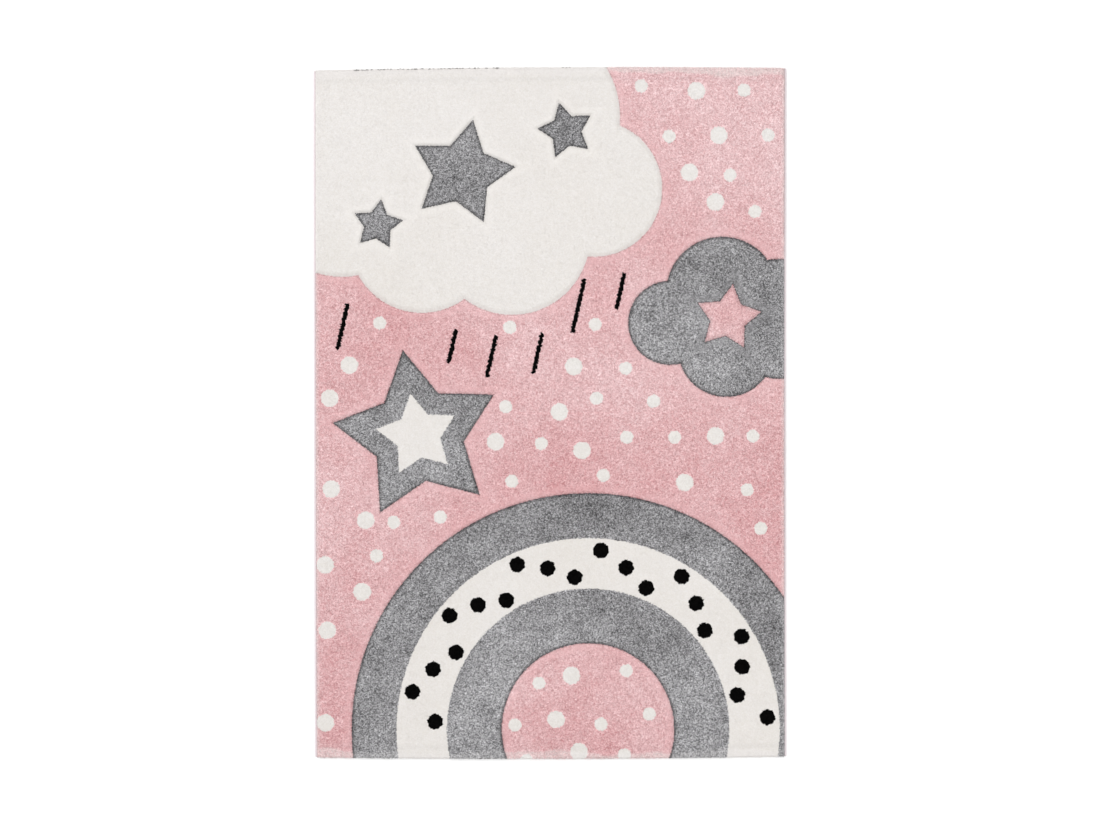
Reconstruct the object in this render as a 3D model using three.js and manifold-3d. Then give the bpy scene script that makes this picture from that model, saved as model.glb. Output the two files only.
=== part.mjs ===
// A machine-woven pile rug for a child's room, lying flat on the floor.
// The pile and its ground are one cloth. After weaving, a carver clips a furrow round each motif,
// so that clouds, rainbow and stars stand up from the field as low, soft-edged islands.
// The two long sides are overlocked with yarn. The two ends are turned under and bow out a little.
// Millimetres, +Z up. The origin is on the floor, under the middle of the rug.

import * as THREE from "three";
import { mergeVertices } from "three/addons/utils/BufferGeometryUtils.js";
import Module from "manifold-3d";

const wasm = await Module();
wasm.setup();

// Driving dimensions of the cloth
const width = 1180; // over both overlocked sides
const length = 1726; // at the crown of the bowed ends
const thickness = 12; // ground and pile together
const cornerRadius = 5;
const rimRound = 4; // of the top edge all round, less than the corner radius
const headEnd = { bow: 8.5, crown: 185 }; // bow: how far the crown stands out past the far corner
const footEnd = { bow: 6, crown: -70 };
const leftTaper = 4; // the left side leans in by this much towards the bottom
const rightWaist = 1; // the right side draws in by this much at mid length

// Overlocked yarn roll along each long side
const rollWidth = 5.5;
const rollHeight = 7;
const rollRound = 1.8;
const rollEndClear = 1; // the roll stops this short of the corner
const seatGap = 0.3;

// Carved furrow: steep on the field's side, gentle on the motif's side
const furrowDepth = 4.5;
const furrowFloor = 1;
const fieldFlank = 5;
const motifFlank = 11;

// Motifs in plan, from the rug's middle. A bump is [x, y, radius].
const creamCloud = [
  [-520, 545, 205],
  [-320, 430, 180],
  [-95, 440, 195],
  [110, 560, 170],
  [-60, 740, 235],
  [-400, 800, 270],
];
const greyCloud = [
  [300, 225, 105],
  [430, 300, 140],
  [575, 235, 150],
  [440, 160, 120],
];
const rainbow = { x: 95, y: -790, outer: 590, inner: 215 };
const stars = [
  { x: -330, y: -55, tip: 215, turn: 10 },
  { x: -220, y: 600, tip: 135, turn: -12 },
  { x: 40, y: 705, tip: 72, turn: 14 },
  { x: -430, y: 470, tip: 64, turn: -8 },
  { x: 445, y: 238, tip: 84, turn: -8 },
];
const starPoints = 5;
const starWaist = 0.54; // radius of the inner corners over the tips' radius

// Facets
const bumpSegments = 56;
const rainbowSegments = 112;
const cornerSteps = 4;
const endSteps = 16;
const sideSteps = 12;

const floorZ = thickness - furrowDepth;
const rootZ = floorZ - 1.5; // islands are rooted this deep in the ground
const aboveTop = thickness + 5;
const halfLength = length / 2;

// A closed solid for joining and cutting, from a three.js geometry.
function solidFrom(geometry) {
  const bare = geometry.index ? geometry.toNonIndexed() : geometry.clone();
  bare.deleteAttribute("normal");
  bare.deleteAttribute("uv");
  const merged = mergeVertices(bare, 1e-4);
  const corners = merged.index.array;
  const triangles = [];
  for (let i = 0; i < corners.length; i += 3) {
    const [a, b, c] = [corners[i], corners[i + 1], corners[i + 2]];
    if (a !== b && b !== c && c !== a) triangles.push(a, b, c);
  }
  const vertProperties = new Float32Array(merged.attributes.position.array);
  const triVerts = new Uint32Array(triangles);
  return new wasm.Manifold(new wasm.Mesh({ numProp: 3, vertProperties, triVerts }));
}

function geometryFrom(solid) {
  const mesh = solid.getMesh();
  const geometry = new THREE.BufferGeometry();
  geometry.setAttribute("position", new THREE.BufferAttribute(mesh.vertProperties, 3));
  geometry.setIndex(new THREE.BufferAttribute(mesh.triVerts, 1));
  geometry.computeVertexNormals();
  return geometry;
}

// Plan of the cloth: x of a long side at height y, and y of an end at x.
function sideX(side, y) {
  const up = y / halfLength;
  if (side < 0) return -width / 2 + leftTaper * ((1 - up) / 2) ** 2;
  return width / 2 - rightWaist * (1 - up * up);
}

function endY(end, x) {
  const { bow, crown } = end > 0 ? headEnd : footEnd;
  const reach = width / 2 + Math.abs(crown);
  return end * (halfLength - bow * ((x - crown) / reach) ** 2);
}

// Outline of the pile, inside the overlocked rolls, counter-clockwise from the lower left corner.
function clothOutline() {
  const inset = rollWidth + seatGap;
  const edgeX = (side, y) => sideX(side, y) - side * inset;
  const outline = [];
  const corner = (side, end, from) => {
    const y = endY(end, sideX(side, 0)) - end * cornerRadius;
    const x = edgeX(side, y) - side * cornerRadius;
    for (let step = 0; step <= cornerSteps; step++) {
      const angle = from + ((Math.PI / 2) * step) / cornerSteps;
      const up = y + cornerRadius * Math.sin(angle);
      outline.push([x + cornerRadius * Math.cos(angle), up]);
    }
  };
  const spread = (steps, low, high, place) => {
    for (let step = 1; step < steps; step++) {
      outline.push(place(low + ((high - low) * step) / steps));
    }
  };
  const endSpan = width / 2 - inset - cornerRadius;
  const sideSpan = halfLength - headEnd.bow - cornerRadius;
  corner(-1, -1, Math.PI);
  spread(endSteps, -endSpan, endSpan, (x) => [x, endY(-1, x)]);
  corner(1, -1, -Math.PI / 2);
  spread(sideSteps, -sideSpan, sideSpan, (y) => [edgeX(1, y), y]);
  corner(1, 1, 0);
  spread(endSteps, endSpan, -endSpan, (x) => [x, endY(1, x)]);
  corner(-1, 1, Math.PI / 2);
  spread(sideSteps, sideSpan, -sideSpan, (y) => [edgeX(-1, y), y]);
  return outline.map(([x, y]) => new THREE.Vector2(x, y));
}

// The whole cloth before carving: its top edge rounded over, its underside flat.
function plainCloth() {
  const round = rimRound;
  const sunk = 10;
  const block = new THREE.ExtrudeGeometry(new THREE.Shape(clothOutline()), {
    depth: thickness + sunk - 2 * round,
    bevelEnabled: true,
    bevelThickness: round,
    bevelSize: round,
    bevelOffset: -round,
    bevelSegments: 3,
  });
  block.translate(0, 0, round - sunk);
  const below = new THREE.BoxGeometry(2 * width, 2 * length, 2 * sunk);
  below.translate(0, 0, -sunk);
  return solidFrom(block).subtract(solidFrom(below));
}

// A turned solid about an upright axis. Its profile is [radius, z] from the bottom up.
function turned(profile, segments) {
  const points = profile.map(([radius, z]) => new THREE.Vector2(radius, z));
  const geometry = new THREE.LatheGeometry(points, segments);
  geometry.rotateX(Math.PI / 2);
  return geometry;
}

// Profiles of a carved edge, as [distance outside the motif's edge, z].
const rise = thickness - floorZ;
const half = furrowFloor / 2;
const fieldEdge = [
  [half, floorZ],
  [half + fieldFlank * 0.4, floorZ + rise * 0.6],
  [half + fieldFlank, thickness],
  [half + fieldFlank * 1.4, aboveTop],
];
const motifEdge = [
  [-half, rootZ],
  [-half, floorZ],
  [-half - motifFlank * 0.3, floorZ + rise * 0.55],
  [-half - motifFlank * 0.65, floorZ + rise * 0.88],
  [-half - motifFlank, thickness],
];

function discSolid(edge, x, y, radius) {
  const wall = edge.map(([out, z]) => [radius + out, z]);
  const bottom = wall[0][1];
  const top = wall[wall.length - 1][1];
  const geometry = turned([[0, bottom], ...wall, [0, top]], bumpSegments);
  geometry.translate(x, y, 0);
  return solidFrom(geometry);
}

function cloudSolid(edge, bumps) {
  return bumps
    .map(([x, y, radius]) => discSolid(edge, x, y, radius))
    .reduce((all, bump) => all.add(bump));
}

// A band between two circles, with the same carved edge on both of them.
function rainbowSolid(edge, { x, y, outer, inner }) {
  const outside = edge.map(([out, z]) => [outer + out, z]);
  const inside = edge.map(([out, z]) => [inner - out, z]).reverse();
  const geometry = turned([...outside, ...inside, outside[0]], rainbowSegments);
  geometry.translate(x, y, 0);
  return solidFrom(geometry);
}

// A star keeps its shape as its edges move in or out, so each level is a scaled copy.
function starSolid(edge, { x, y, tip, turn }) {
  const corner = Math.PI / starPoints;
  const inner = [starWaist * Math.cos(corner), starWaist * Math.sin(corner)];
  const edgeLength = Math.hypot(1 - inner[0], inner[1]);
  const edgeReach = (tip * inner[1]) / edgeLength;
  const wall = edge.map(([out, z]) => [tip * (1 + out / edgeReach), z]);
  const bottom = wall[0][1];
  const top = wall[wall.length - 1][1];
  const geometry = turned([[0, bottom], ...wall, [0, top]], 2 * starPoints);
  const places = geometry.attributes.position;
  for (let i = 0; i < places.count; i++) {
    const around = Math.atan2(places.getY(i), places.getX(i)) + Math.PI / 2;
    const isTip = Math.round(around / corner) % 2 === 0;
    const scale = isTip ? 1 : starWaist;
    places.setXY(i, places.getX(i) * scale, places.getY(i) * scale);
  }
  geometry.rotateZ(Math.PI + THREE.MathUtils.degToRad(turn));
  geometry.translate(x, y, 0);
  return solidFrom(geometry);
}

// The carved cloth: each motif's furrow is cut, then its island is set in, then all is trimmed
// to the cloth's own rounded block where motifs run off the sides and ends.
function carvedCloth() {
  const block = plainCloth();
  const carve = (cloth, make, motif) =>
    cloth.subtract(make(fieldEdge, motif)).add(make(motifEdge, motif));
  let cloth = block;
  cloth = carve(cloth, rainbowSolid, rainbow);
  cloth = carve(cloth, cloudSolid, greyCloud);
  cloth = carve(cloth, cloudSolid, creamCloud);
  for (const star of stars) cloth = carve(cloth, starSolid, star);
  return cloth.intersect(block);
}

// The overlocked roll of yarn along one long side, following that side's line.
function overlockRoll(side) {
  const outer = [];
  const inner = [];
  const low = endY(-1, sideX(side, 0)) + rollEndClear;
  const high = endY(1, sideX(side, 0)) - rollEndClear;
  for (let step = 0; step <= sideSteps; step++) {
    const y = low + ((high - low) * step) / sideSteps;
    outer.push(new THREE.Vector2(sideX(side, y), y));
    inner.unshift(new THREE.Vector2(sideX(side, y) - side * rollWidth, y));
  }
  return new THREE.ExtrudeGeometry(new THREE.Shape([...outer, ...inner]), {
    depth: rollHeight - 2 * rollRound,
    bevelEnabled: true,
    bevelThickness: rollRound,
    bevelSize: rollRound,
    bevelOffset: -rollRound,
    bevelSegments: 2,
  }).translate(0, 0, rollRound);
}

// Finishes
const pinkPile = new THREE.MeshStandardMaterial({ color: 0xe0b5b7, roughness: 0.95, metalness: 0 });
const mauveYarn = new THREE.MeshStandardMaterial({ color: 0xe3d2d6, roughness: 0.7, metalness: 0 });

const rug = new THREE.Group();

const carpet = new THREE.Mesh(geometryFrom(carvedCloth()), pinkPile);
carpet.name = "carpet";
rug.add(carpet);

for (const [side, name] of [[-1, "overlock_left"], [1, "overlock_right"]]) {
  const roll = new THREE.Mesh(overlockRoll(side), mauveYarn);
  roll.name = name;
  rug.add(roll);
}

export default rug;
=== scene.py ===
"""The finish of a machine-woven pile rug for a child's room, laid flat and seen from straight above.

Metres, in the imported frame. The rug's length runs along Y, its pile stands up along Z.
"""

import bpy
import numpy as np
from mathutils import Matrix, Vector


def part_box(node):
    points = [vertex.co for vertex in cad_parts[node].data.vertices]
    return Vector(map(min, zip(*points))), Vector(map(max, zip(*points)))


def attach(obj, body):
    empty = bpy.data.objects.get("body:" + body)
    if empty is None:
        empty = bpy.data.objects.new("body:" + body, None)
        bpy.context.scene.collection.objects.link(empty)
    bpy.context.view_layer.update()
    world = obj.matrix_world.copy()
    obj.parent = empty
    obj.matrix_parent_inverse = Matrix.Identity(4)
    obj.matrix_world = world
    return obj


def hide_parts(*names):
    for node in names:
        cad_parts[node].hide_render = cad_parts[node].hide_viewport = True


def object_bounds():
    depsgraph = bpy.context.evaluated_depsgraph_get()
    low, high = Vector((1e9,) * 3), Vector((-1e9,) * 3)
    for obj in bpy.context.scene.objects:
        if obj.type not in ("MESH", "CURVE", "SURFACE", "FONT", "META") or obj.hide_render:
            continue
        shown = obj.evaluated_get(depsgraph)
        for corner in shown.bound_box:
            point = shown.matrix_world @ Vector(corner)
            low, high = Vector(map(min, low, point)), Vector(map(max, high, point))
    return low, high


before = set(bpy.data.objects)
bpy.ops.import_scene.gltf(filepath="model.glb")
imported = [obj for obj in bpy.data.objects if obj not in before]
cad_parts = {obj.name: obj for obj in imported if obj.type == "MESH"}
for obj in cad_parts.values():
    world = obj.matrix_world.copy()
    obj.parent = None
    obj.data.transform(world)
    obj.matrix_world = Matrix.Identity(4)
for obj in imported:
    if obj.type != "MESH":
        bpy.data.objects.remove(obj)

cad_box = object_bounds()
_, carpet_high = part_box("carpet")


# Camera, floor and light. The rug is photographed square on from above, on plain white,
# in an even studio light that comes a little more from the upper left.
image_width, image_height = 1100, 824
rug_width = cad_box[1][0] - cad_box[0][0]
rug_width_in_image = 472.5
rug_centre_in_image = (550.0, 413.0)
metres_per_pixel = rug_width / rug_width_in_image

outline_level = 0.004  # where the rug is widest, above the floor

camera_data = bpy.data.cameras.new("camera")
camera_data.lens = 60.0
camera_data.sensor_width = 36.0
camera_data.clip_end = 60.0
camera = bpy.data.objects.new("camera", camera_data)
camera_height = image_width * metres_per_pixel * camera_data.lens / camera_data.sensor_width
camera.location = (
    (image_width / 2 - rug_centre_in_image[0]) * metres_per_pixel,
    (rug_centre_in_image[1] - image_height / 2) * metres_per_pixel,
    camera_height + outline_level,
)
bpy.context.collection.objects.link(camera)
bpy.context.scene.camera = camera
bpy.context.scene.view_settings.view_transform = "Standard"

world_colour = (1.0, 1.0, 1.0, 1.0)
world_strength = 0.92
world = bpy.data.worlds.new("studio")
world.use_nodes = True
world_light = world.node_tree.nodes["Background"]
world_light.inputs["Color"].default_value = world_colour
world_light.inputs["Strength"].default_value = world_strength
bpy.context.scene.world = world


def soft_box(name, place, side, power):
    """A square studio lamp of that side, aimed at the middle of the rug."""
    lamp = bpy.data.lights.new(name, "AREA")
    lamp.size = side
    lamp.energy = power
    holder = bpy.data.objects.new(name, lamp)
    holder.location = place
    holder.rotation_euler = Vector(place).to_track_quat("Z", "Y").to_euler()
    bpy.context.collection.objects.link(holder)


soft_box("key_light", (-3.6, 3.9, 6.3), 3.9, 247.0)
soft_box("fill_light", (3.0, -1.6, 4.6), 3.0, 70.0)

floor_side = 14.0
floor_drop = 0.0004  # keeps the floor's face just under the rug's
floor_mesh = bpy.data.meshes.new("floor")
floor_corners = floor_side / 2 * np.array([(-1, -1, 0), (1, -1, 0), (1, 1, 0), (-1, 1, 0)], float)
floor_corners[:, 2] = -floor_drop
floor_mesh.from_pydata(floor_corners.tolist(), [], [(0, 1, 2, 3)])
floor = bpy.data.objects.new("floor", floor_mesh)
bpy.context.collection.objects.link(floor)


class Wire:
    """A shader socket in a sum: numbers and wires mix, and node() adds any other node."""

    def __init__(self, tree, socket):
        self.tree = tree
        self.socket = socket

    def node(self, kind, settings, inputs, output=0):
        """Adds a node, sets it up, fills or links its inputs, and gives the wire of one output."""
        made = self.tree.nodes.new("ShaderNode" + kind)
        for key, value in settings.items():
            setattr(made, key, value)
        for key, value in inputs.items():
            if isinstance(value, Wire):
                self.tree.links.new(value.socket, made.inputs[key])
            else:
                made.inputs[key].default_value = value
        return Wire(self.tree, made.outputs[output])

    def math(self, operation, *terms):
        inputs = dict(enumerate(terms))
        return self.node("Math", {"operation": operation}, inputs)

    def __add__(self, other):
        return self.math("ADD", self, other)

    def __sub__(self, other):
        return self.math("SUBTRACT", self, other)

    def __rsub__(self, other):
        return self.math("SUBTRACT", other, self)

    def __mul__(self, other):
        return self.math("MULTIPLY", self, other)

    __radd__ = __add__
    __rmul__ = __mul__

    def sine(self):
        return self.math("SINE", self)

    def clamped(self):
        return self.node("Clamp", {}, {"Value": self})

    def tint(self, colour, other, beyond=False):
        """This wire's share of the way from one colour to the other, or beyond either of them."""
        settings = {"data_type": "RGBA", "clamp_factor": not beyond}
        return self.node("Mix", settings, {"Factor": self, 6: colour, 7: other}, output=2)

    def dimmed(self, factor):
        """This colour times a number."""
        inputs = {0: self, "Scale": factor}
        return self.node("VectorMath", {"operation": "SCALE"}, inputs)

    def attribute(self, name):
        """A number that the mesh holds for each face or point."""
        return self.node("Attribute", {"attribute_name": name}, {}, output=2)

    def place(self):
        return self.node("TexCoord", {}, {}, output=3)

    def noise(self, cycles_per_metre, detail=2.0, roughness=0.5):
        inputs = {"Vector": self.place(), "Scale": cycles_per_metre}
        inputs |= {"Detail": detail, "Roughness": roughness}
        return self.node("TexNoise", {}, inputs)

    def cells(self, cycles_per_metre):
        """Distance to the middle of a random cell of that size, and two numbers of that cell."""
        inputs = {"Vector": self.place(), "Scale": cycles_per_metre}
        distance = self.node("TexVoronoi", {}, inputs)
        colour = Wire(self.tree, distance.socket.node.outputs["Color"])
        first, second, _ = self.axes(colour)
        return distance, first, second

    def axes(self, vector):
        """The three numbers of a vector."""
        split = self.node("SeparateXYZ", {}, {"Vector": vector})
        node = split.socket.node
        return [Wire(self.tree, node.outputs[axis]) for axis in range(3)]


def plain_material(name, **constants):
    """A material whose shader has those constants, with a wire to start its sums from."""
    material = bpy.data.materials.new(name)
    material.use_nodes = True
    shader = material.node_tree.nodes["Principled BSDF"]
    for socket, value in constants.items():
        shader.inputs[socket.replace("_", " ")].default_value = value
    return material, shader, Wire(material.node_tree, None)


def linked(wire, socket):
    wire.tree.links.new(wire.socket, socket)


floor_colour = (0.93, 0.93, 0.93, 1.0)
floor_material, floor_shader, _ = plain_material("white_floor", Roughness=0.9)
floor_shader.inputs["Base Color"].default_value = floor_colour
floor_mesh.materials.append(floor_material)


# The cloth's plan. It was woven as a rectangle; on the floor its ends bow out, its left side
# leans in towards the foot and its right side draws in a little at mid length.
half_width = carpet_high[0]
half_length = carpet_high[1]
corner_radius = 0.003
bow_at_head, bow_at_foot = 0.0085, 0.0060
crown_at_head, crown_at_foot = 0.185, -0.070
left_taper = 0.004
right_waist = 0.001


def laid_out(u, v):
    """Plan of the point (u, v) of the woven rectangle.

    x is u moved by the side's error, shared out across the width.
    y is v less the end's bow, which grows with the square of the distance from its crown
    and in proportion to v.
    """
    up = v / half_length
    across = (u + half_width) / (2 * half_width)
    left_error = left_taper * ((1 - up) / 2) ** 2
    right_error = right_waist * (1 - up**2)
    x = u + (1 - across) * left_error - across * right_error
    crown = np.where(v > 0, crown_at_head, crown_at_foot)
    bow = np.where(v > 0, bow_at_head, bow_at_foot)
    reach = rug_width / 2 + np.abs(crown)
    y = v - up * bow * ((x - crown) / reach) ** 2
    return x, y


# Woven backing: the flat ground that the pile is locked into, jute weft over a polyester warp.
# It carries everything else and lies on the floor with its whole underside.
backing_thickness = 0.0022
backing_end_inset = 0.0012
backing_side_reach = 0.0004  # into the overlocking, which wraps round this edge
backing_cell = 0.020
weft_pitch = 0.0032
warp_pitch = 0.0046
weave_relief = 0.0006
weft_share, warp_share = 0.65, 0.35
weft_wander, warp_wander = 1.5, 1.2  # radians that the fibres push the ribs
jute_fibre_noise = (900.0, 3.0)  # cycles per metre and detail
jute_patch_noise = (60.0,)
jute_colour = (0.56, 0.46, 0.33, 1.0)
warp_colour = (0.70, 0.66, 0.58, 1.0)


def mesh_object(name, points, faces, smooth=True):
    """A mesh of equal-sided faces from whole arrays, linked into the scene."""
    mesh = bpy.data.meshes.new(name)
    corners = faces.shape[1]
    mesh.vertices.add(len(points))
    mesh.vertices.foreach_set("co", points.astype(np.float32).ravel())
    mesh.loops.add(faces.size)
    mesh.loops.foreach_set("vertex_index", faces.astype(np.int32).ravel())
    mesh.polygons.add(len(faces))
    mesh.polygons.foreach_set("loop_start", np.arange(0, faces.size, corners, dtype=np.int32))
    mesh.polygons.foreach_set("use_smooth", np.full(len(faces), smooth))
    mesh.update(calc_edges=True)
    made = bpy.data.objects.new(name, mesh)
    bpy.context.collection.objects.link(made)
    return made


def grid_faces(rows, columns):
    """Four-sided faces between the points of a grid that is stored row by row."""
    first = (np.arange(rows - 1)[:, None] * columns + np.arange(columns - 1)[None, :]).ravel()
    return np.stack([first, first + 1, first + columns + 1, first + columns], axis=1)


def backing_slab():
    """Two flat grids, the lower one turned over, joined round their rim by a wall."""
    columns = int(2 * half_width / backing_cell) + 1
    rows = int(2 * half_length / backing_cell) + 1
    u = np.linspace(-1, 1, columns) * (half_width + backing_side_reach)
    v = np.linspace(-1, 1, rows) * (half_length - backing_end_inset)
    x, y = laid_out(*np.meshgrid(u, v))
    count = rows * columns
    points = np.zeros((2 * count, 3))
    points[:, 0] = np.tile(x.ravel(), 2)
    points[:, 1] = np.tile(y.ravel(), 2)
    points[count:, 2] = backing_thickness
    index = np.arange(count).reshape(rows, columns)
    rim = np.concatenate([index[0, :-1], index[:-1, -1], index[-1, :0:-1], index[:0:-1, 0]])
    following = np.roll(rim, -1)
    wall = np.stack([rim, following, following + count, rim + count], axis=1)
    flat = grid_faces(rows, columns)
    faces = np.concatenate([flat[:, ::-1], flat + count, wall])
    return mesh_object("woven_backing", points, faces, smooth=False)


def backing_material():
    """Weft ribs over a finer warp: two sine waves at right angles, jute between pale warp ends."""
    material, shader, start = plain_material("jute_back", Roughness=0.95)
    x, y, _ = start.axes(start.place())
    fibre = start.noise(*jute_fibre_noise)
    weft = (y * (2 * np.pi / weft_pitch) + fibre * weft_wander).sine() * 0.5 + 0.5
    warp = (x * (2 * np.pi / warp_pitch) + fibre * warp_wander).sine() * 0.5 + 0.5
    cross = weft * weft_share + warp * warp_share
    patch = start.noise(*jute_patch_noise)
    colour = (warp * 0.55 + patch * 0.5 - 0.12).clamped().tint(jute_colour, warp_colour)
    # painted shade in the hollows between the ribs, with fibre tone that differs at random
    weave_shaded = colour.dimmed(cross * 0.3 + fibre * 0.3 + 0.6)
    linked(weave_shaded, shader.inputs["Base Color"])
    height = {"Height": cross + fibre * 0.3, "Strength": 0.8, "Distance": weave_relief}
    linked(start.node("Bump", {}, height), shader.inputs["Normal"])
    return material


backing = backing_slab()
backing.data.materials.append(backing_material())
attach(backing, "root")
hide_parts("carpet")


# Design of the weave. Each tuft takes its yarn from these motifs: a cream cloud, a grey cloud,
# a grey rainbow with a cream band, stars, short black strokes and polka dots on a pink field.
cream_cloud = [
    (-0.520, 0.545, 0.205),
    (-0.320, 0.430, 0.180),
    (-0.095, 0.440, 0.195),
    (0.110, 0.560, 0.170),
    (-0.060, 0.740, 0.235),
    (-0.400, 0.800, 0.270),
]
grey_cloud = [
    (0.300, 0.225, 0.105),
    (0.430, 0.300, 0.140),
    (0.575, 0.235, 0.150),
    (0.440, 0.160, 0.120),
]
rainbow = {"x": 0.095, "y": -0.790, "outer": 0.590, "inner": 0.215}
rainbow_band = {"x": 0.095, "y": -0.790, "outer": 0.478, "inner": 0.352}
field_star = {"x": -0.330, "y": -0.055, "tip": 0.215, "turn": 10.0}
field_star_heart = {"x": -0.330, "y": -0.055, "tip": 0.105, "turn": 10.0}
cloud_stars = [
    {"x": -0.220, "y": 0.600, "tip": 0.135, "turn": -12.0},
    {"x": 0.040, "y": 0.705, "tip": 0.072, "turn": 14.0},
    {"x": -0.430, "y": 0.470, "tip": 0.064, "turn": -8.0},
]
pink_star = {"x": 0.445, "y": 0.238, "tip": 0.084, "turn": -8.0}
star_points = 5
star_waist = 0.54

stroke_width = 0.011
stroke_slant = (-0.22, -0.97)
strokes = [
    (-0.505, 0.270, 0.110),
    (-0.235, 0.205, 0.080),
    (-0.135, 0.190, 0.100),
    (-0.020, 0.195, 0.095),
    (0.085, 0.330, 0.130),
    (0.185, 0.345, 0.085),
]
band_spot_radius = 0.0195
band_spot_arc = (4.0, 186.0)  # degrees round the rainbow
band_spot_step = 9.1
band_spot_rings = (0.448, 0.382, 0.415)

dot_pitch = 0.112
dot_rows = 0.87  # row spacing over the pitch
dot_shift = (0.024, 0.022)
dot_margin = {"left": 0.045, "right": 0.020, "head": 0.060}
large_dot, small_dot = 0.022, 0.0165
large_share = (2, 5)  # two dots in five are large
dot_clearance = 0.014


def to_circles(x, y, circles):
    """Distance outside the outline of circles joined together: the least of their distances."""
    return np.min([np.hypot(x - cx, y - cy) - radius for cx, cy, radius in circles], axis=0)


def to_ring(x, y, ring):
    """Distance outside a band between two circles about one centre."""
    middle = (ring["outer"] + ring["inner"]) / 2
    half_band = (ring["outer"] - ring["inner"]) / 2
    return np.abs(np.hypot(x - ring["x"], y - ring["y"]) - middle) - half_band


def to_star(x, y, star):
    """Distance outside a star's edge line, after folding the plane into half of one point."""
    half_point = np.pi / star_points
    around = np.arctan2(y - star["y"], x - star["x"]) - np.radians(90 + star["turn"])
    folded = np.abs((around + half_point) % (2 * half_point) - half_point)
    radius = np.hypot(x - star["x"], y - star["y"])
    waist = star["tip"] * star_waist * np.array([np.cos(half_point), np.sin(half_point)])
    edge = waist - np.array([star["tip"], 0.0])
    normal = np.array([-edge[1], edge[0]]) / np.hypot(*edge)
    along = radius * np.cos(folded) - star["tip"]
    return -(along * normal[0] + radius * np.sin(folded) * normal[1])


def to_strokes(x, y):
    """Distance outside straight strokes with round ends."""
    distances = []
    for x0, y0, length in strokes:
        dx, dy = length * stroke_slant[0], length * stroke_slant[1]
        share = ((x - x0) * dx + (y - y0) * dy) / (dx * dx + dy * dy)
        share = np.clip(share, 0, 1)
        distances.append(np.hypot(x - x0 - share * dx, y - y0 - share * dy) - stroke_width / 2)
    return np.min(distances, axis=0)


def to_large_motifs(x, y):
    """Distance outside whatever the polka dots keep clear of."""
    motifs = [
        to_circles(x, y, cream_cloud),
        to_circles(x, y, grey_cloud),
        to_ring(x, y, rainbow),
        to_star(x, y, field_star),
        to_strokes(x, y),
    ]
    return np.min(motifs, axis=0)


def polka_dots():
    """Rows of shifted dots in two sizes, less those that would touch a motif."""
    shifts = np.random.default_rng(11)
    dots = []
    row = 0
    y = half_length - dot_margin["head"]
    while y > -half_length:
        x = -half_width + dot_margin["left"] + (row % 2) * dot_pitch / 2
        while x < half_width - dot_margin["right"]:
            is_large = (len(dots) * large_share[0]) % large_share[1] < large_share[0]
            sideways = shifts.uniform(-dot_shift[0], dot_shift[0])
            endways = shifts.uniform(-dot_shift[1], dot_shift[1])
            dots.append((x + sideways, y + endways, large_dot if is_large else small_dot))
            x += dot_pitch
        y -= dot_pitch * dot_rows
        row += 1
    return [dot for dot in dots if to_large_motifs(dot[0], dot[1]) > dot[2] + dot_clearance]


def band_spots():
    """Spots that wander between three rings of the rainbow's band."""
    spots = []
    for count, degrees in enumerate(np.arange(*band_spot_arc, band_spot_step)):
        ring = band_spot_rings[count % len(band_spot_rings)]
        x = rainbow["x"] + ring * np.cos(np.radians(degrees))
        y = rainbow["y"] + ring * np.sin(np.radians(degrees))
        spots.append((x, y, band_spot_radius))
    return spots


PINK, CREAM, GREY, BLACK = range(4)
loose_wobble = 0.0009
loose_waves = [(190.0, 430.0), (390.0, -240.0)]  # radians per metre of x and of y
loose_lean, flung_lean = 0.6, 1.3  # how far the black spots and strokes lean, of other yarns' lean


def yarn_at(x, y, stray):
    """The yarn that shows at a place: later motifs lie over earlier ones.

    stray is how far each tuft leans across the plan. It frays the edges of the motifs that
    no furrow cleans up. The black yarn is the loosest, and its edges also wobble in sine waves.
    """
    leaning = (x + stray[0], y + stray[1])
    wobble = [loose_wobble * np.sin(by_x * x + by_y * y) for by_x, by_y in loose_waves]
    loose = (x + loose_lean * stray[0] + wobble[0], y + loose_lean * stray[1] + wobble[1])
    flung = (x + flung_lean * stray[0] + wobble[0], y + flung_lean * stray[1] + wobble[1])
    yarn = np.full(x.shape, PINK)
    yarn[to_circles(*leaning, polka_dots()) < 0] = CREAM
    yarn[to_ring(x, y, rainbow) < 0] = GREY
    yarn[to_ring(*leaning, rainbow_band) < 0] = CREAM
    yarn[to_circles(*loose, band_spots()) < 0] = BLACK
    yarn[to_star(x, y, field_star) < 0] = GREY
    yarn[to_star(*leaning, field_star_heart) < 0] = CREAM
    yarn[to_circles(x, y, grey_cloud) < 0] = GREY
    yarn[to_star(x, y, pink_star) < 0] = PINK
    yarn[to_circles(x, y, cream_cloud) < 0] = CREAM
    for star in cloud_stars:
        yarn[to_star(x, y, star) < 0] = GREY
    yarn[to_strokes(*flung) < 0] = BLACK
    return yarn


def to_carved_lines(x, y):
    """Signed distance to the nearest line that the carver followed, negative inside its motif."""
    lines = [
        to_circles(x, y, cream_cloud),
        to_circles(x, y, grey_cloud),
        to_ring(x, y, rainbow),
    ]
    lines += [to_star(x, y, star) for star in [field_star, pink_star, *cloud_stars]]
    lines = np.array(lines)
    nearest = np.abs(lines).argmin(axis=0)
    return np.take_along_axis(lines, nearest[None], axis=0)[0]


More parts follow.
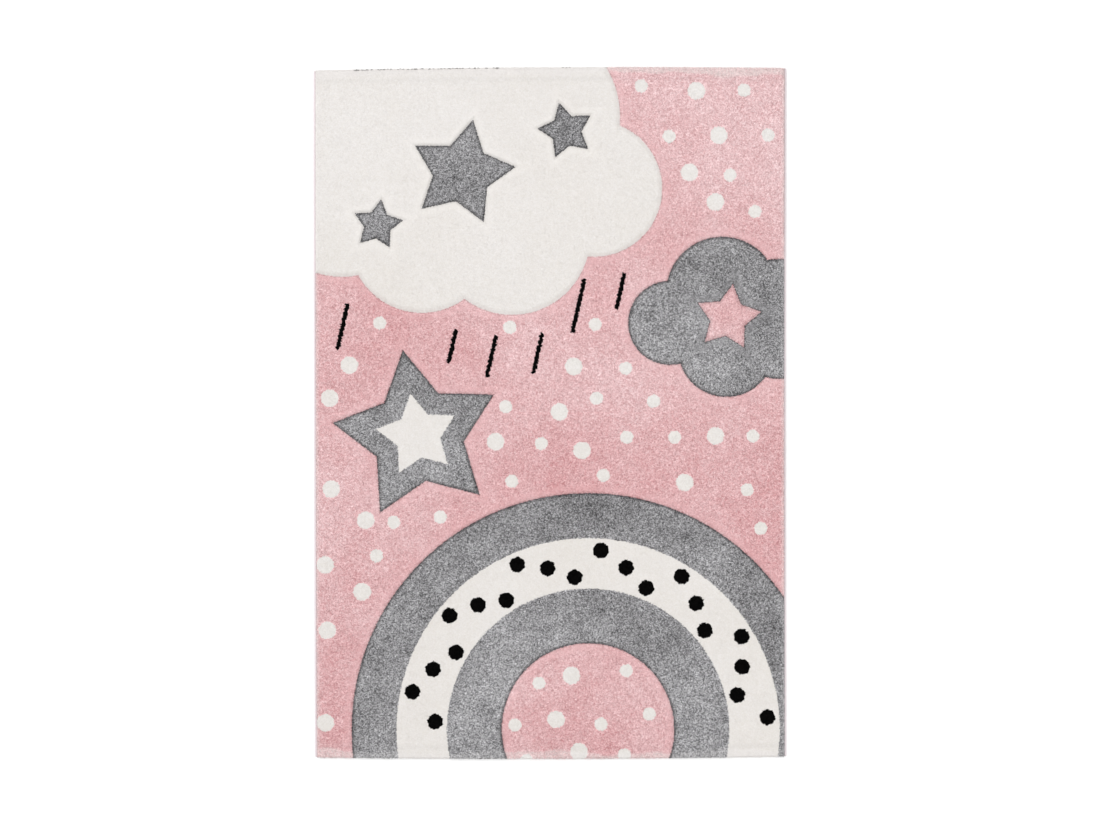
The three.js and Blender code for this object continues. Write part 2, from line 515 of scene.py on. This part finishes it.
# The pile: cut ends of heatset yarn, curled and leaning every way, locked into the backing.
# Each tuft is a low peak over its own cell of the cloth. At the rim the pile rolls over
# and hangs down the side.
tuft_pitch = 0.0032
rim_radius = 0.004
rim_foot = 0.0015
overlock_cover = 0.0014  # how far the pile leans out over the overlocking
tip_level = carpet_high[2] - 0.0007
tip_rise = 0.0006
tip_spread = 0.0004
tip_lean = 0.26  # of the pitch
root_depth = 0.0017
root_spread = 0.0005
root_shift = 0.24  # of the pitch
end_fray = 0.0016
tuft_stray = 0.0011
yarn_end = 0.0023
ply_pitch = 0.0007
cream_relief = 0.45  # of the other yarns' relief: this yarn is bulkier and closes up
furrow_depth = 0.0045
furrow_floor = 0.0005
field_flank = 0.005
motif_flank = 0.011

chance = np.random.default_rng(5)
rim_wall = tip_level - rim_radius - rim_foot
rim_arc = rim_radius * np.pi / 2
rim_extra = rim_wall + rim_arc - rim_radius
pile_half_width = half_width + overlock_cover


def smooth_step(low, high, value):
    share = np.clip((value - low) / (high - low), 0, 1)
    return share * share * (3 - 2 * share)


def in_band(band, value):
    """1 within a band and 0 outside it, with a smooth step at either side."""
    return smooth_step(*band[:2], value) * (1 - smooth_step(*band[2:], value))


def rolled_over(a, b):
    """Point and normal of the pile's skin at (a, b) of the cloth pulled out flat.

    Within the rim, the distance in from the flat outline is first a straight wall up from the
    floor, then a quarter circle, then the flat top.
    """
    radius = corner_radius + rim_extra
    beyond_a = np.abs(a) - (pile_half_width + rim_extra - radius)
    beyond_b = np.abs(b) - (half_length + rim_extra - radius)
    corner = np.hypot(np.maximum(beyond_a, 0), np.maximum(beyond_b, 0))
    outside = corner + np.minimum(np.maximum(beyond_a, beyond_b), 0) - radius
    inward = np.maximum(-outside, 0)
    in_corner = corner > 1e-9
    safe = np.where(in_corner, corner, 1.0)
    towards_side = (beyond_a > beyond_b).astype(float)
    out_u = np.where(in_corner, np.maximum(beyond_a, 0) / safe, towards_side) * np.sign(a)
    out_v = np.where(in_corner, np.maximum(beyond_b, 0) / safe, 1 - towards_side) * np.sign(b)
    turn = np.clip((inward - rim_wall) / rim_radius, 0, np.pi / 2)
    plan_in = rim_radius * (1 - np.cos(turn)) + np.maximum(inward - rim_wall - rim_arc, 0)
    level = rim_foot + np.minimum(inward, rim_wall) + rim_radius * np.sin(turn)
    shift = plan_in - (inward - rim_extra)
    x, y = laid_out(a - out_u * shift, b - out_v * shift)
    point = np.stack([x, y, level], axis=-1)
    normal = np.stack([out_u * np.cos(turn), out_v * np.cos(turn), np.sin(turn)], axis=-1)
    return point, normal, -outside


def furrow_at(line):
    """Depth of carving from 0 to 1: steep on the field's side, gentle on the motif's side."""
    outside = 1 - smooth_step(furrow_floor, furrow_floor + field_flank, line)
    inside = 1 - smooth_step(furrow_floor, furrow_floor + motif_flank, -line)
    return np.where(line > 0, outside, inside)


def raised(a, b, height):
    """Points of the pile that stand off its skin by a height, less the carving there."""
    point, normal, inward = rolled_over(a, b)
    carved = furrow_depth * furrow_at(to_carved_lines(point[..., 0], point[..., 1]))
    standing = point + normal * height[..., None]
    standing[..., 2] -= carved * normal[..., 2]
    return standing, inward


columns = int(round(2 * (pile_half_width + rim_extra) / tuft_pitch))
rows = int(round(2 * (half_length + rim_extra) / tuft_pitch))
side_line = np.linspace(-1, 1, columns + 1) * (pile_half_width + rim_extra)
end_line = np.linspace(-1, 1, rows + 1) * (half_length + rim_extra)


def relief_at(a, b):
    """How much of its full relief the pile has at (a, b) of the cloth."""
    return np.where(yarn_at(*laid_out(a, b), (0, 0)) == CREAM, cream_relief, 1.0)


# Roots: the corners of the cells, pushed about within the cloth.
root_a, root_b = np.meshgrid(side_line, end_line)
free = np.zeros(root_a.shape)
free[1:-1, 1:-1] = root_shift * tuft_pitch
root_a = root_a + free * chance.uniform(-1, 1, root_a.shape)
root_b = root_b + free * chance.uniform(-1, 1, root_b.shape)
root_height = root_spread * chance.normal(size=root_a.shape) - root_depth
roots, _ = raised(root_a, root_b, root_height * relief_at(root_a, root_b))

# Tips: one in each cell, leaning its own way, and longer where the ends fray.
tip_a, tip_b = np.meshgrid(
    (side_line[1:] + side_line[:-1]) / 2,
    (end_line[1:] + end_line[:-1]) / 2,
)
tip_a = tip_a + tip_lean * tuft_pitch * chance.uniform(-1, 1, tip_a.shape)
tip_b = tip_b + tip_lean * tuft_pitch * chance.uniform(-1, 1, tip_b.shape)
at_end = np.abs(tip_b) > half_length - rim_radius
tip_height = tip_rise + tip_spread * chance.normal(size=tip_a.shape)
tip_height = tip_height * relief_at(tip_a, tip_b) + at_end * end_fray * chance.random(tip_a.shape)
tips, tip_inward = raised(tip_a, tip_b, tip_height)

# Faces: each tuft has four, from two neighbouring roots up to its tip. A face has its own yarn
# and its own marks: painted sheen where the ends fray and splay, pale where the sides are combed
# down, painted shade in a furrow, painted light on the rolled rim, and a little rosier in a line along
# the hem.
# A band of painted sheen runs in from each end, where the turned pile splays:
end_sheen_reach = 0.0165
end_sheen_wander = 0.30  # of that reach
end_sheen_waves = [(12.0, 2.2, 1.0), (31.0, 0.4, 0.6), (77.0, 0.0, 0.4)]  # radians per metre, start, height
end_sheen_edge = (-0.005, 0.004)  # over which the painted sheen fades out
end_sheen_strength = {"foot": 0.80, "head": 1.05}
comb_reach, comb_strength = 0.012, 0.70
# Painted light on the rolled rim and painted shade beside the carved lines reach so far:
rim_reach = 0.005
motif_furrow_reach, field_furrow_reach = 0.0090, 0.0035
brushed_band = (0.003, 0.006, 0.014, 0.024)  # out from a carved line: starts, full, ends, gone
rosy_band = (0.020, 0.027, 0.029, 0.040)  # in from an end, in the same four steps
pale_spread = (0.35, 1.40)
lower_left = (np.arange(rows)[:, None] * (columns + 1) + np.arange(columns)[None, :]).ravel()
ring = np.stack([lower_left, lower_left + 1, lower_left + columns + 2, lower_left + columns + 1], 1)
tip_index = roots.shape[0] * roots.shape[1] + np.arange(rows * columns)
faces = np.stack([ring, np.roll(ring, -1, axis=1), np.repeat(tip_index[:, None], 4, 1)], 2)
faces = faces[(tip_inward > 0).ravel()].reshape(-1, 3)
pile_points = np.concatenate([roots.reshape(-1, 3), tips.reshape(-1, 3)])
pile_chart = np.concatenate([
    np.stack([root_a.ravel(), root_b.ravel()], 1),
    np.stack([tip_a.ravel(), tip_b.ravel()], 1),
])
face_x, face_y, _ = pile_points[faces].mean(axis=1).T
face_line = to_carved_lines(face_x, face_y)
tuft_count = len(faces) // 4
from_end = half_length - np.abs(pile_chart[faces[:, 2], 1])
from_side = pile_half_width - np.abs(pile_chart[faces[:, 2], 0])
wander = sum(height * np.sin(face_x * by_x + start) for by_x, start, height in end_sheen_waves)
reach = end_sheen_reach * (1 + end_sheen_wander * wander)
upper_half = face_y > 0
# The painted sheen at the ends, stronger at the head:
end_sheen = np.where(upper_half, end_sheen_strength["head"], end_sheen_strength["foot"])
end_sheen = end_sheen * (1 - smooth_step(reach + end_sheen_edge[0], reach + end_sheen_edge[1], from_end))
combed = comb_strength * (1 - smooth_step(0.0, comb_reach, from_side))
# Painted light on the rolled rim, which lies in its own shade:
rim_light_mask = 1 - smooth_step(0.0, rim_reach, np.minimum(from_side, from_end))
# Painted shade on either side of a carved line:
motif_furrow_shade = 1 - smooth_step(0.0, motif_furrow_reach, -face_line)
field_furrow_shade = 1 - smooth_step(0.0, field_furrow_reach, face_line)
stray = np.repeat(chance.uniform(-tuft_stray, tuft_stray, (2, tuft_count)), 4, axis=1)
face_yarn = yarn_at(face_x, face_y, stray)
point_shade = np.clip(chance.normal(size=len(pile_points)), -2, 2)
face_facts = {
    # painted shade in and beside the carved furrows
    "furrow": np.where(face_line > 0, field_furrow_shade, motif_furrow_shade),
    "brushed": in_band(brushed_band, face_line),
    # painted sheen at the ends, and pale flecks along the combed sides
    "pale": (np.maximum(end_sheen, combed) * chance.uniform(*pale_spread, len(faces))).clip(0, 1),
    "rosy": in_band(rosy_band, from_end),
    # painted light on the rolled rim
    "rim": rim_light_mask,
}


def pile_piece(name, chosen, material):
    """The chosen faces of the pile with their own points, facts and a flat chart of the cloth."""
    used, corners = np.unique(faces[chosen], return_inverse=True)
    corners = corners.reshape(-1, 3)
    piece = mesh_object(name, pile_points[used], corners)
    for key, values in face_facts.items():
        layer = piece.data.attributes.new(key, "FLOAT", "FACE")
        layer.data.foreach_set("value", values[chosen].astype(np.float32))
    layer = piece.data.attributes.new("shade", "FLOAT", "POINT")
    layer.data.foreach_set("value", point_shade[used].astype(np.float32))
    flat = pile_chart[used]
    low, high = flat.min(axis=0), flat.max(axis=0)
    chart = piece.data.uv_layers.new(name="OFBake")
    chart.data.foreach_set("uv", ((flat - low) / (high - low))[corners.ravel()].ravel())
    piece.data.materials.append(material)
    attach(piece, "root")
    return piece


mottle_noise = (11.0, 4.0, 0.68)  # cycles per metre, detail and roughness
sweep_noise = (2.2, 1.0)
fibre_noise = (2600.0,)
tuft_shade, end_shade = 0.6, 3.3  # how far the tufts and the yarn ends differ
brushed_calm, brushed_lift = 0.45, 0.03
# Painted shade in the gaps between yarn ends: a lift in an end's middle, shade at its border.
gap_shade_lift, gap_shade_depth = 0.06, 0.35  # an end's middle and its border
ply_tone, fibre_tone = 0.025, 0.16
ply_skew, ply_rise, ply_break = 0.45, 0.6, 4.0
# Painted light on the rolled rim, and the dip of the rosy band in from each end:
rim_painted_light, rosy_dip = 0.12, 0.04
dome_height, ply_height, fibre_height = 1.4, 0.12, 0.5
dome_distance, dome_strength = 0.0009, 0.7


def yarn_material(
    name, light, deep, pale, contrast, mottle, sweep, drift=0.0, furrow=0.2, bulk=1.0
):
    """Heatset yarn between two near colours, where each yarn end is a small dome of its own.

    The deep colour's share wanders with noise in small mottles and in wide sweeps of painted
    shading, where the pile was brushed another way, and drifts up from the rug's head to its foot.
    The yarn ends are random cells, each with its own shade, and painted shade darkens them
    towards their borders, in the gaps between the ends.
    Fine ply lines run along each end's own lie: a sine wave across it, skewed along it and
    broken up by the noise of the fibres.
    The furrow's walls get painted shade, the rolled rims painted light, and the pale share
    paints sheen at the ends and pale flecks at the sides; bulk is how far the domes show.
    """
    material, shader, start = plain_material(name, Roughness=0.92, Specular_IOR_Level=0.12)
    x, y, z = start.axes(start.place())
    border, cell_shade, cell_lie = start.cells(1 / yarn_end)
    lie = cell_lie * (2 * np.pi)
    cosine = start.math("COSINE", lie)
    along = x * cosine + y * lie.sine()
    across = y * cosine - x * lie.sine()
    fibre = start.noise(*fibre_noise)
    ply_phase = (across + along * ply_skew + z * ply_rise) * (2 * np.pi / ply_pitch)
    ply = (ply_phase + fibre * ply_break).sine()
    brushed = start.attribute("brushed")
    shade = start.attribute("shade") * tuft_shade + (cell_shade - 0.5) * end_shade
    shade = shade * (1 - brushed * brushed_calm)
    mottles = (start.noise(*mottle_noise) - 0.5) * mottle
    # painted shading in wide sweeps, where the pile lies another way
    sweeps = (start.noise(*sweep_noise) - 0.5) * sweep
    share = mottles + sweeps + 0.5 - y * (drift / half_length)
    yarn = (share - shade * 0.5).tint(light, deep, beyond=True)
    # the pale share paints sheen on the splayed ends, and pale flecks along the sides
    colour = start.attribute("pale").tint(yarn, pale)
    # painted shade towards each yarn end's border, in the gaps between the ends
    gap_shade = border * border * -gap_shade_depth + gap_shade_lift
    grain = shade * contrast + gap_shade * bulk + ply * ply_tone + (fibre - 0.5) * fibre_tone
    # painted shade in the carved furrows
    level = (1 + grain + brushed * brushed_lift) * (1 - start.attribute("furrow") * furrow)
    # painted light on the rolled rim
    level = level * (1 + start.attribute("rim") * rim_painted_light - start.attribute("rosy") * rosy_dip)
    linked(colour.dimmed(level), shader.inputs["Base Color"])
    dome = border * (bulk * -dome_height) + ply * ply_height + fibre * fibre_height
    height = {"Height": dome, "Strength": dome_strength, "Distance": dome_distance}
    linked(start.node("Bump", {}, height), shader.inputs["Normal"])
    return material


# Pink yarn: the field, and the star on the grey cloud. It is woven in one, in two joined pieces.
pink_light = (0.841, 0.570, 0.581, 1.0)
pink_deep = (0.766, 0.443, 0.454, 1.0)
# Pale colour of the painted sheen at the ends and of the flecks along the sides:
pink_sheen_and_fleck = (0.835, 0.690, 0.680, 1.0)
pink_yarn = yarn_material(
    "pink_yarn", pink_light, pink_deep, pink_sheen_and_fleck,
    contrast=0.06, mottle=1.6, sweep=2.4, drift=0.26, bulk=0.8,
)
pink_upper = pile_piece("pink_pile_upper", (face_yarn == PINK) & upper_half, pink_yarn)
pink_lower = pile_piece("pink_pile_lower", (face_yarn == PINK) & ~upper_half, pink_yarn)

# Cream yarn: the large cloud in one piece, and the dots, the rainbow's band and the star's heart.
cream_light = (0.737, 0.709, 0.685, 1.0)
cream_deep = (0.720, 0.688, 0.655, 1.0)
# Pale colour of the painted sheen at the ends and of the flecks along the sides:
cream_sheen_and_fleck = (0.737, 0.707, 0.689, 1.0)
cream_yarn = yarn_material(
    "cream_yarn", cream_light, cream_deep, cream_sheen_and_fleck,
    contrast=0.008, mottle=1.6, sweep=2.4, drift=0.3, furrow=0.06, bulk=0.15,
)
cream_upper = pile_piece("cream_pile_upper", (face_yarn == CREAM) & upper_half, cream_yarn)
cream_lower = pile_piece("cream_pile_lower", (face_yarn == CREAM) & ~upper_half, cream_yarn)

# Grey yarn: a heather of light and dark fibres, so its tufts differ most.
grey_light = (0.375, 0.370, 0.380, 1.0)
grey_deep = (0.262, 0.258, 0.265, 1.0)
# Pale colour of the painted sheen at the ends and of the flecks along the sides:
grey_sheen_and_fleck = (0.500, 0.490, 0.498, 1.0)
grey_yarn = yarn_material(
    "grey_yarn", grey_light, grey_deep, grey_sheen_and_fleck,
    contrast=0.25, mottle=3.1, sweep=3.0, furrow=0.62,
)
grey_upper = pile_piece("grey_pile_upper", (face_yarn == GREY) & upper_half, grey_yarn)
grey_lower = pile_piece("grey_pile_lower", (face_yarn == GREY) & ~upper_half, grey_yarn)

# Black yarn: the strokes under the cloud and the spots on the rainbow's band.
black_light = (0.0028, 0.0025, 0.0025, 1.0)
black_deep = (0.0018, 0.0017, 0.0017, 1.0)
black_specular = 0.03  # deeper in shade than the other yarns
black_yarn = yarn_material(
    "black_yarn", black_light, black_deep, black_light, contrast=0.2, mottle=1.0, sweep=0.0
)
black_shader = black_yarn.node_tree.nodes["Principled BSDF"]
black_shader.inputs["Specular IOR Level"].default_value = black_specular
black_pile = pile_piece("black_pile", face_yarn == BLACK, black_yarn)


# Hem stitches: a grey thread holds the turned ends down, and shows between the tufts of the
# rim along part of the head, and here and there at the foot.
stitch_radius = 0.00050
stitch_lengths = (0.0035, 0.0085)
stitch_bearings = (0.80, 1.25)  # round the rim's quarter circle, from level
stitch_skew = 0.22
stitch_rise = 0.0016
stitch_sink = 0.0016
stitch_runs = [(1, -0.487, -0.125, 58), (1, 0.030, 0.060, 3), (-1, -0.180, -0.120, 7)]
stitch_colour = (0.165, 0.158, 0.150, 1.0)
stitch_steps, stitch_sides = 8, 6
tip_flat = 0.02  # leaves a small flat on a rounded tip, as a share of its radius squared


def tube_faces(index):
    """Four-sided faces of closed tubes: walls from ring to ring, and a fan over each end ring.

    index numbers the points by tube, by ring along it and by place round it. A ring has an even
    number of places and turns counter-clockwise when it is seen from the tube's last ring.
    """
    following = np.roll(index, -1, axis=2)
    walls = np.stack([index[:, :-1], following[:, :-1], following[:, 1:], index[:, 1:]], axis=-1)
    places = range(1, index.shape[2] - 2, 2)
    fan = np.array([(0, place, place + 1, place + 2) for place in places])
    last_end = index[:, -1][:, fan]
    first_end = index[:, 0][:, fan[:, ::-1]]
    return np.concatenate([part.reshape(-1, 4) for part in (walls, last_end, first_end)])


def stitch_mesh():
    """Closed arched rods that lie along the rim: their middles bulge out, their ends dip in.

    Each rod's distance from the centre of the rim's quarter circle falls with the square of
    the way out from its middle, and its radius closes at both ends.
    """
    placed = []
    for end, low, high, stitches in stitch_runs:
        placed += [(end, x) for x in chance.uniform(low, high, stitches)]
    end, x = np.array(placed).T[:, :, None, None]
    count = len(placed)
    way = np.linspace(-1, 1, stitch_steps)[None, :, None]
    around = (np.arange(stitch_sides) / stitch_sides * 2 * np.pi)[None, None, :]
    thick = stitch_radius * np.sqrt(1 + tip_flat - way**2)
    length = chance.uniform(*stitch_lengths, (count, 1, 1))
    skew = chance.uniform(-stitch_skew, stitch_skew, (count, 1, 1))
    bearing = chance.uniform(*stitch_bearings, (count, 1, 1)) + skew * way
    bearing = bearing + end * thick * np.sin(around) / rim_radius
    stand = rim_radius + stitch_rise - stitch_sink * way**2 + thick * np.cos(around)
    rim_x, rim_y = laid_out(x + way * length / 2 + 0 * around, end * half_length)
    out_y = rim_y + end * (stand * np.cos(bearing) - rim_radius)
    out_z = tip_level - rim_radius + stand * np.sin(bearing)
    points = np.stack([rim_x, out_y, out_z], axis=-1)
    index = np.arange(count * stitch_steps * stitch_sides)
    index = index.reshape(count, stitch_steps, stitch_sides)
    return mesh_object("hem_stitches", points.reshape(-1, 3), tube_faces(index))


hem_stitches = stitch_mesh()
stitch_material, stitch_shader, _ = plain_material("hem_thread", Roughness=0.8)
stitch_shader.inputs["Base Color"].default_value = stitch_colour
hem_stitches.data.materials.append(stitch_material)
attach(hem_stitches, "root")


# Overlocking: a thick pale yarn wrapped over each long side, wrap beside wrap, by machine.
overlock_pitch = 0.0030
overlock_skew = 0.35  # of a wrap, from one face to the other
overlock_bulge = 0.00045
overlock_squareness = 0.75  # 1 would be an ellipse, and less is nearer to an oblong
overlock_ring = 12
overlock_steps = 4
overlock_taper = 0.003
overlock_tail = 0.0012  # how far each end of the wrapping runs past its core
overlock_width = 0.0062
wrap_fibre_noise = (1800.0, 2.0)
wrap_patch_noise = (35.0, 2.0)
overlock_loose = 0.0006  # how far the wraps stand out past the rug's own width
# Painted shade: the wrapping on the right side is darkened by this factor.
overlock_side_shade = {"overlock_left": 1.0, "overlock_right": 0.89}
overlock_colour = (0.738, 0.668, 0.688, 1.0)
overlock_shadow = (0.560, 0.478, 0.500, 1.0)


def overlock_piece(node):
    """A flattened roll along the side: a rounded oblong section carried along the side's line.

    Its radius swells and falls once a wrap, and the wraps are skewed round the section.
    """
    low, high = (np.array(corner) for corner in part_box(node))
    side = np.sign(low[0] + high[0])
    width, height = overlock_width, high[2] - low[2]
    foot, head = low[1] - overlock_tail, high[1] + overlock_tail
    wraps = int(round((head - foot) / overlock_pitch))
    y = np.linspace(foot, head, wraps * overlock_steps + 1)
    up = y / half_length
    left_line = -rug_width / 2 + left_taper * ((1 - up) / 2) ** 2
    right_line = rug_width / 2 - right_waist * (1 - up**2)
    middle = np.where(side < 0, left_line, right_line) + side * (overlock_loose - width / 2)
    turn = np.arange(overlock_ring) / overlock_ring * -2 * np.pi
    phase = (y[:, None] - foot) / overlock_pitch + overlock_skew * np.cos(turn)[None, :] / 2
    bulge = overlock_bulge * (np.abs(np.sin(np.pi * phase)) - 1)
    from_tip = np.clip(np.minimum(head - y, y - foot) / overlock_taper, 0, 1)
    swell = np.sqrt(1 + tip_flat - (1 - from_tip) ** 2)[:, None]
    across = np.sign(np.cos(turn)) * np.abs(np.cos(turn)) ** overlock_squareness
    above = np.sign(np.sin(turn)) * np.abs(np.sin(turn)) ** overlock_squareness
    x = middle[:, None] + swell * (width / 2 + bulge) * across[None, :]
    z = height / 2 + swell * (height / 2 + bulge) * above[None, :]
    ring_y = np.repeat(y[:, None], overlock_ring, axis=1)
    points = np.stack([x, ring_y, z], axis=-1).reshape(-1, 3)
    index = np.arange(len(points)).reshape(1, len(y), overlock_ring)
    piece = mesh_object(node + "_yarn", points, tube_faces(index))
    wrap_phase = piece.data.attributes.new("wrap", "FLOAT", "POINT")
    wrap_phase.data.foreach_set("value", phase.astype(np.float32).ravel())
    # the side's painted shade, as a factor on its colour
    side_shade = piece.data.attributes.new("side_shade", "FLOAT", "POINT")
    side_shade.data.foreach_set("value", np.full(len(points), overlock_side_shade[node], np.float32))
    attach(piece, "root")
    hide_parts(node)
    return piece


def overlock_material():
    """Pale yarn with painted shade in the hollow between two wraps: the wrap's own sine wave, squared.
    """
    material, shader, start = plain_material("overlock_yarn", Roughness=0.6, Sheen_Weight=0.2)
    wrap = start.attribute("wrap")
    wave = (wrap * np.pi).sine()
    crest = wave * wave
    fibre = start.noise(*wrap_fibre_noise)
    patch = start.noise(*wrap_patch_noise)
    share = (crest * 1.6 + patch * 0.4 - 0.2).clamped()
    colour = share.tint(overlock_shadow, overlock_colour)
    # the side's painted shade darkens the right wrapping
    linked(colour.dimmed((fibre * 0.16 + 0.92) * start.attribute("side_shade")), shader.inputs["Base Color"])
    height = {"Height": fibre + crest * 0.5, "Strength": 0.4, "Distance": 0.0003}
    linked(start.node("Bump", {}, height), shader.inputs["Normal"])
    return material


overlock_yarn = overlock_material()
overlocks = [overlock_piece(node) for node in ("overlock_left", "overlock_right")]
for overlock in overlocks:
    overlock.data.materials.append(overlock_yarn)
